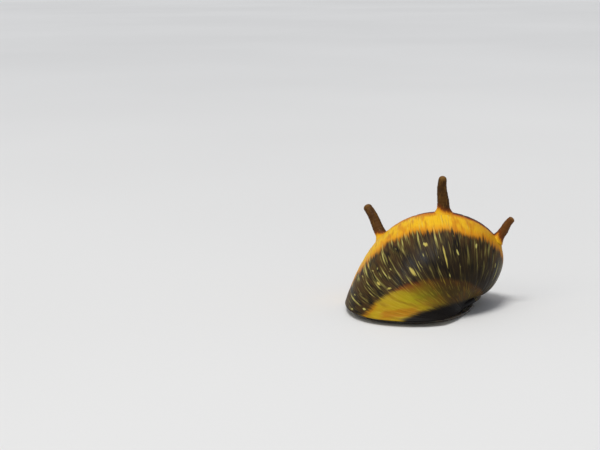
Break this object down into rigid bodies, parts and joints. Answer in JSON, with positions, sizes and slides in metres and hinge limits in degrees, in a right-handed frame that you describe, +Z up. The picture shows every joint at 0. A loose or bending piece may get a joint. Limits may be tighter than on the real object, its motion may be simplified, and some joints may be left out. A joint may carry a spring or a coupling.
{
  "type": "horned nerite snail",
  "caption": "Life-size still model of a horned nerite snail: a low domed coiled shell with long spines on its shoulder, foot, head and feelers tucked under it.",
  "frame": {"origin": "on the floor, under the middle of the whole snail's length and width", "axes": "+Z up from the floor; the head end of the shell towards -X; the animal's left side towards -Y; the apex of the shell to the right rear"},
  "size_m": [0.0184, 0.0192, 0.0144],
  "materials": {
    "shell_body_whorl": "smooth, softly glossy shell, dark brown with yellow bands and fine pale streaks along the growth lines",
    "shell_spire": "worn brown shell",
    "horn_front": "brown shell spine, paler at the tip",
    "horn_middle": "brown shell spine, paler at the tip",
    "horn_rear": "reddish brown shell spine",
    "foot": "moist grey-brown skin",
    "operculum": "thin chalky plate",
    "head": "moist dark skin",
    "tentacle_left": "moist dark skin",
    "tentacle_right": "moist dark skin",
    "eye_left": "black, shiny",
    "eye_right": "black, shiny"
  },
  "bodies": {
    "root": {"shell_body_whorl": "shell_body_whorl", "shell_spire": "shell_spire", "horn_front": "horn_front", "horn_middle": "horn_middle", "horn_rear": "horn_rear", "foot": "foot", "operculum": "operculum", "head": "head", "tentacle_left": "tentacle_left", "tentacle_right": "tentacle_right", "eye_left": "eye_left", "eye_right": "eye_right"}
  },
  "joints": []
}
